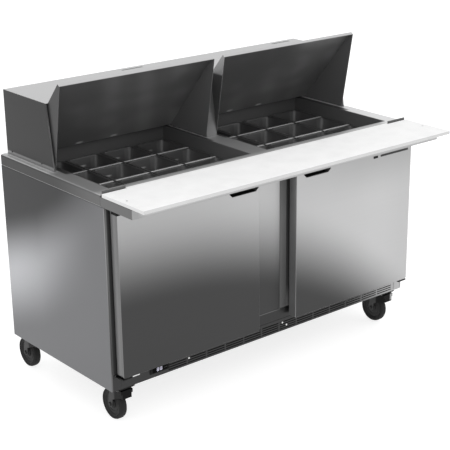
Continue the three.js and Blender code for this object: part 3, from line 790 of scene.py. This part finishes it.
def shelves():
    """The wires across each shelf's frame, and the pilasters that carry the shelves."""
    spaces, end_gap = 28, 2
    for side, sign in SIDES:
        low, high = span(f"wire_shelf_{side}")
        dress(f"wire_shelf_{side}", coated_wire, 0.8)
        height = high.z + 0.5
        runs = []
        for i in range(1, spaces):
            x = low.x + (high.x - low.x) * i / spaces
            runs.append([(x, low.y + end_gap, height), (x, high.y - end_gap, height)])
        wires(f"shelf_wires_{side}", runs, 1.5, "cabinet", coated_wire, 6)
        for row, y in enumerate((110, 520)):
            side_slab(f"pilaster_{side}_{row + 1}", sign, (708.5, 712.2), (y - 9, y + 9), (270, 740),
                      "cabinet", steel_liner, 0.8)


def rear():
    """Screws round the rear skin, and the louvres over its vent slots."""
    _, skin = span("rear_panel")
    screw_start, screw_pitch = -735, 210
    for i in range(8):
        for z in (176, 520, 856):
            screw(f"rear_screw_{i + 1}_{z}", (screw_start + i * screw_pitch, skin.y, z), BACKWARD,
                  "cabinet", zinc)
    louvre_start, louvre_pitch, sheet = 242.2, 16, 2.4
    for i in range(8):
        z = louvre_start + i * louvre_pitch
        slab(f"rear_louvre_{i + 1}", (-219, skin.y - 1, z), (219, skin.y + 6, z + sheet), "cabinet",
             galvanised, 0.8)


# ---- Worktop, wells and pans ----

def worktop():
    """Worktop, well liners and the bars under the pans."""
    dress("worktop", steel_worktop, 2.5, 3)
    for side, _ in SIDES:
        dress(f"well_tub_{side}", steel_well, 1.0)
        low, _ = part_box(f"pan_divider_{side}")
        steel_bar = brushed_steel(f"stainless_bar_{side}", bar_tone(low.x - MM), metal=0.15)
        dress(f"pan_divider_{side}", steel_bar, 1.2)


def pan_mesh():
    """A pressed sixth-size pan: rolled rim, rounded corners, tapered walls and a dished floor. Each
    loop is a width, a depth, a corner radius and a height below the rim's top."""
    outside = [(115, 127, 15, -100), (125, 137, 20, -98.6), (130, 142, 21, -93.5), (139.4, 151.4, 17, -6),
               (140, 152, 17, -3.2)]
    inside = [(158.4, 164, 12, -3.2), (158.4, 164, 12, -1.0), (157.4, 163, 12, -0.2), (155, 160.6, 12, 0),
              (141.5, 153.5, 17, 0), (138.2, 150.2, 16, -1.4), (136.8, 148.8, 16, -5),
              (127.6, 139.6, 20, -92), (123, 135, 19, -97), (113, 125, 15, -98.4)]
    loops = [rounded_rectangle(*row) for row in outside + inside]
    mesh = bpy.data.meshes.new("sixth_pan")
    bm = lofted(loops)
    bmesh.ops.recalc_face_normals(bm, faces=bm.faces)
    bm.to_mesh(mesh)
    bm.free()
    mesh.shade_smooth()
    mesh.set_sharp_from_angle(angle=math.radians(50))
    mesh.materials.append(steel_pan)
    return mesh


def pans():
    """One pressed pan in the place of each plain one."""
    mesh = pan_mesh()
    for node in sorted(nodes):
        if not node.startswith("pan_") or node.startswith("pan_divider"):
            continue
        low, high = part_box(node)
        obj = bpy.data.objects.new(f"pressed_{node}", mesh)
        scene.collection.objects.link(obj)
        obj.location = ((low.x + high.x) / 2, (low.y + high.y) / 2, high.z)
        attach(obj, "cabinet")
        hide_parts(node)


# ---- Board ----

def board():
    """The board on its rail, with a screw near each end."""
    dress("board_rail", steel_rail, 2.0, 3)
    dress("cutting_board", board_white, 2.2, 3)
    _, high = span("cutting_board")
    for side, sign in SIDES:
        screw(f"board_screw_{side}", (sign * (high.x - 24), -110, high.z - 3.4), UP, "cutting_board",
              zinc, 3.8)


# ---- Hood and lids ----

def hood():
    """The hood, two stops on its top edge and the screws at its ends."""
    dress("hood", steel_hood, 1.0)
    _, high = span("hood")
    for i, x in enumerate((-214, 583)):
        slab(f"hood_stop_{i + 1}", (x, 642, high.z - 0.5), (x + 100, 652, high.z + 0.4), "cabinet",
             steel_well, 0.3, 1)
    for side, sign in SIDES:
        for i, y in enumerate((430, 640)):
            screw(f"hood_screw_{side}_{i + 1}", (sign * high.x, y, 926), (sign, 0, 0), "cabinet",
                  steel_screw, 3)


def lids():
    """Each lid has a finish of its own, because its painted glints are counted from its left end."""
    for side, _ in SIDES:
        low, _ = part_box(f"lid_{side}")
        steel_lid = brushed_steel(f"stainless_lid_{side}", lid_tone(low.x), metal=0.35)
        dress(f"lid_{side}", steel_lid, 0.8)


# ---- Doors ----

def doors():
    """Doors with gaskets, inner liners, caps over their hinge corners, cups and a blank strip."""
    for side, sign in SIDES:
        body = f"door_{side}"
        dress(body, steel_front, 2.5, 3)
        dress(f"door_gasket_{side}", gasket_black, 2.5, 3)
        side_slab(f"door_liner_{side}", sign, (135, 700), (-10.4, -3.5), (270, 818), body,
                  steel_liner, 3.0, 3)
        low, high = span(body)
        edge = max(-low.x, high.x)
        side_slab(f"hinge_cap_{side}", sign, (edge - 22, edge + 0.6), (low.y - 0.6, -16),
                  (high.z - 15, high.z + 0.8), body, black_plastic, 1.5)
    pull("left", -238.7, -98.5)
    pull("right", 135.6, 277.1)
    slab("blank_strip_mark", (518, -51.6, 806), (543, -50.6, 816), "door_right",
         black_plastic, 0.3, 1)
    slab("blank_strip", (559, -51.4, 807), (721, -50.6, 816), "door_right",
         strip_grey, 0.3, 1)


def pull(side, x0, x1):
    """The moulded cup that lines a door's finger pocket, which reaches from x0 to x1."""
    body = f"door_{side}"
    slab(f"pull_back_{side}", (x0 + 1, -27.5, 805), (x1 - 1, -25.2, 861.5), body,
         cup_black, 0.8)
    chamfer = 12.8
    slab(f"pull_sill_{side}", (x0 + chamfer, -50.2, 804.2), (x1 - chamfer, -26, 806.2), body,
         black_plastic, 0.6)


# ---- Casters ----
# Outlines are (radius, along) in millimetres; the wheel's are given for one half of its width.

TYRE = [(49, 14), (51.5, 15), (53, 13.8), (55.5, 15), (57.5, 13.9), (60.5, 13), (62.6, 8), (62.9, 0)]
CORE = [(6.4, 15), (17, 15), (19, 13), (19.5, 8), (30, 7.2), (31, 8.6), (33, 8.6), (34, 7), (44, 7),
        (47, 12), (49.4, 13.4)]
BEARING_CAP = [(6.3, 0), (14, 0), (14, 1.2), (12, 2.2), (6.3, 2.2)]
AXLE_NUT = [(0.01, 0), (9, 0), (9, 4), (7.6, 5.4), (0.01, 5.4)]
RACEWAY = [(10, 0), (30, 0), (31.5, 1.5), (31.5, 5), (28, 8), (10, 8)]
CASTER_TRAIL = 46.7
WHEEL_SIDE = 15
NUT_SEAT = 20.4
RACEWAY_HEIGHT = 143


def both_halves(half):
    """A closed outline from its half on one side of the wheel's middle plane."""
    other = [(radius, -along) for radius, along in half]
    return other + [point for point in reversed(half) if point[1]]


def casters():
    """Four swivel casters, placed by the wheels of the frame."""
    for corner in CORNERS:
        low, high = span(f"caster_wheel_{corner}")
        middle = (low + high) / 2
        wheel(corner, middle)
        swivel(corner, middle.x, middle.y - CASTER_TRAIL)


def wheel(corner, centre):
    """A turned tyre on its core, with a bearing cap and an axle nut on each side."""
    x, y, axle = centre
    body = f"wheel_{corner}"
    tyre = turned(f"tyre_{corner}", both_halves(TYRE), centre, (1, 0, 0), body,
                  wheel_rubber, 64)
    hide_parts(f"caster_wheel_{corner}")
    turned(f"core_{corner}", both_halves(CORE), centre, (1, 0, 0), body, wheel_core, 48)
    for sign in (-1, 1):
        cap_place = (x + sign * WHEEL_SIDE, y, axle)
        turned(f"bearing_{corner}_{sign + 1}", BEARING_CAP, cap_place, (sign, 0, 0), body,
               wheel_core)
        nut_place = (x + sign * NUT_SEAT, y, axle)
        turned(f"axle_nut_{corner}_{sign + 1}", AXLE_NUT, nut_place, (sign, 0, 0), f"caster_{corner}",
               wheel_core, 6)


def swivel(corner, x, stem):
    """The fork, its raceway and four bolts up into the chassis, round the swivel axis x, stem."""
    plate, _ = span("base_chassis")
    # The fork's finish carries painted shadow on its crown and a painted highlight.
    fork_shaded = moulded(f"fork_shaded_{corner}", fork_tone(FRONT + stem * MM), 0.45, metal=0.3,
                         scale=500.0, strength=0.1, shine=0.1)
    dress(f"caster_fork_{corner}", fork_shaded, 1.0)
    turned(f"raceway_{corner}", RACEWAY, (x, stem, RACEWAY_HEIGHT), UP, f"caster_{corner}",
           race_black, 40)
    for i, (dx, dy) in enumerate(((-36, -30), (36, -30), (-36, 30), (36, 30))):
        screw(f"plate_bolt_{corner}_{i + 1}", (x + dx, stem + dy, plate.z), DOWN, "cabinet",
              zinc, 5)


def hinges():
    """Screws in the lower hinge brackets."""
    for side, sign in SIDES:
        for i, x in enumerate((704, 722)):
            screw(f"hinge_screw_{side}_{i + 1}", (sign * x, -44, 224), UP, "cabinet",
                  black_plastic, 3.5)


# ---- Studio ----

def studio():
    """A white room, a pale floor that glows, and two soft lights in front."""
    world = bpy.data.worlds.new("studio")
    scene.world = world
    world.use_nodes = True
    background = world.node_tree.nodes["Background"]
    background.inputs["Color"].default_value = (1.0, 1.0, 1.0, 1.0)
    background.inputs["Strength"].default_value = 1.0
    add_floor(size=12, tone=0.4, glow=0.78)
    add_light("key", (-2.6, -3.4, 3.6), 3.0, 34)
    add_light("fill", (3.2, -3.0, 2.8), 3.0, 14)
    scene.view_settings.view_transform = "Standard"


def add_floor(size, tone, glow):
    """A square floor, size metres from its middle to each edge."""
    bm = bmesh.new()
    bmesh.ops.create_grid(bm, x_segments=1, y_segments=1, size=size)
    mesh = bpy.data.meshes.new("floor")
    bm.to_mesh(mesh)
    bm.free()
    floor = bpy.data.objects.new("floor", mesh)
    scene.collection.objects.link(floor)
    pale = Paint("floor_white")
    grain = pale.noise((3.0, 3.0, 3.0), 2.0)
    pale.colour(pale.plus(tone, pale.times(grain, 0.02)))
    pale.roughness(0.9)
    pale.shader.inputs["Emission Color"].default_value = (1.0, 1.0, 1.0, 1.0)
    pale.shader.inputs["Emission Strength"].default_value = glow
    set_material(floor, pale.material)


def add_light(name, position, size, power):
    """A square light that points at the middle of the table."""
    data = bpy.data.lights.new(name, "AREA")
    data.size = size
    data.energy = power
    light = bpy.data.objects.new(name, data)
    light.location = position
    aim = Vector((0, 0, 0.6)) - Vector(position)
    light.rotation_euler = aim.to_track_quat("-Z", "Y").to_euler()
    scene.collection.objects.link(light)


def camera():
    """A long lens in front of the left-hand end, level across and looking down."""
    azimuth, elevation = math.radians(-41.25), math.radians(20.73)
    back = Vector((math.sin(azimuth) * math.cos(elevation), -math.cos(azimuth) * math.cos(elevation),
                   math.sin(elevation)))
    data = bpy.data.cameras.new("camera")
    data.sensor_width = 36
    data.lens = 101.35
    data.shift_x = -0.0955
    data.shift_y = 0.0604
    data.clip_end = 50
    obj = bpy.data.objects.new("camera", data)
    obj.location = Vector((-3.060, FRONT - 3.481, 2.2709))
    obj.rotation_euler = (-back).to_track_quat("-Z", "Y").to_euler()
    scene.collection.objects.link(obj)
    scene.camera = obj


camera()
studio()
cabinet()
kick_panel()
refrigeration()
shelves()
rear()
worktop()
pans()
board()
hood()
lids()
doors()
casters()
hinges()
